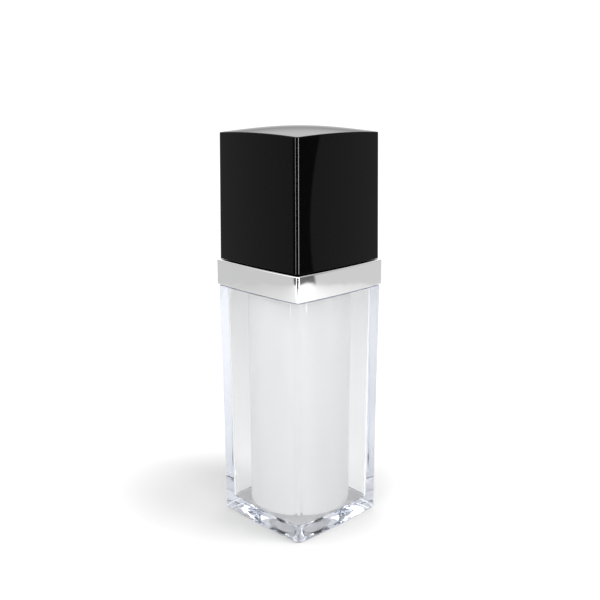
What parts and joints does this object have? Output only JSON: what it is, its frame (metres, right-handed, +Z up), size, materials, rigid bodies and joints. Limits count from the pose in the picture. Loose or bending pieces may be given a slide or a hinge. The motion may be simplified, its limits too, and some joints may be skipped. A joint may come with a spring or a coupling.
{
  "type": "airless pump bottle",
  "caption": "Square airless dispenser bottle: clear outer shell, round frosted inner bottle with rising follower, chrome collar, push-down pump head and lift-off black overcap.",
  "frame": {"origin": "centre of the foot of the outer shell, on the surface that the bottle stands on", "axes": "+Z up along the bottle's axis; the faces of the square point along X and Y; the nozzle points along -Y"},
  "size_m": [0.0414, 0.0414, 0.1373],
  "materials": {
    "clear_acrylic": "polished clear, very faint blue in the edges",
    "frosted_polypropylene": "translucent, fine satin",
    "natural_polypropylene": "natural translucent white, satin",
    "follower_polyethylene": "milky white, satin",
    "gloss_black": "high gloss",
    "liner_polypropylene": "black, satin",
    "chrome_plating": "mirror plating on moulded plastic",
    "head_plating": "mirror plating on moulded plastic",
    "spring_steel": "drawn stainless wire and ground ball",
    "gasket_elastomer": "pale elastomer"
  },
  "bodies": {
    "bottle": {"outer_shell": "clear_acrylic", "inner_bottle": "frosted_polypropylene", "shoulder_collar": "chrome_plating", "neck_gasket": "gasket_elastomer", "pump_carrier": "natural_polypropylene", "housing_gasket": "gasket_elastomer", "pump_housing": "natural_polypropylene", "stem_guide": "natural_polypropylene", "ball_retainer": "natural_polypropylene", "return_spring": "spring_steel"},
    "overcap": {"overcap_shell": "gloss_black", "overcap_liner": "liner_polypropylene"},
    "plunger": {"pump_stem": "natural_polypropylene", "piston_rod": "natural_polypropylene"},
    "dosing_piston": {"pump_piston": "follower_polyethylene"},
    "pump_head": {"actuator_shell": "head_plating", "actuator_core": "natural_polypropylene", "nozzle_insert": "natural_polypropylene"},
    "follower": {"follower_piston": "follower_polyethylene"},
    "valve_ball": {"inlet_ball": "spring_steel"}
  },
  "joints": [
    {"name": "cap_lift", "type": "slide", "parent": "bottle", "child": "overcap", "axis": [0, 0, 1], "range_m": [0, 0.03]},
    {"name": "pump_press", "type": "slide", "parent": "bottle", "child": "plunger", "axis": [0, 0, -1], "range_m": [0, 0.005], "stiffness_N_per_m": 1500, "springref_m": -0.004, "deforming": ["return_spring"]},
    {"name": "piston_slip", "type": "slide", "parent": "plunger", "child": "dosing_piston", "axis": [0, 0, 1], "range_m": [0, 0.0006]},
    {"name": "head_swivel", "type": "hinge", "parent": "plunger", "child": "pump_head", "pos_m": [0, 0, 0.1043], "axis": [0, 0, 1], "continuous": true},
    {"name": "follower_rise", "type": "slide", "parent": "bottle", "child": "follower", "axis": [0, 0, 1], "range_m": [0, 0.059]},
    {"name": "inlet_ball_lift", "type": "slide", "parent": "bottle", "child": "valve_ball", "axis": [0, 0, 1], "range_m": [0, 0.0008]}
  ]
}
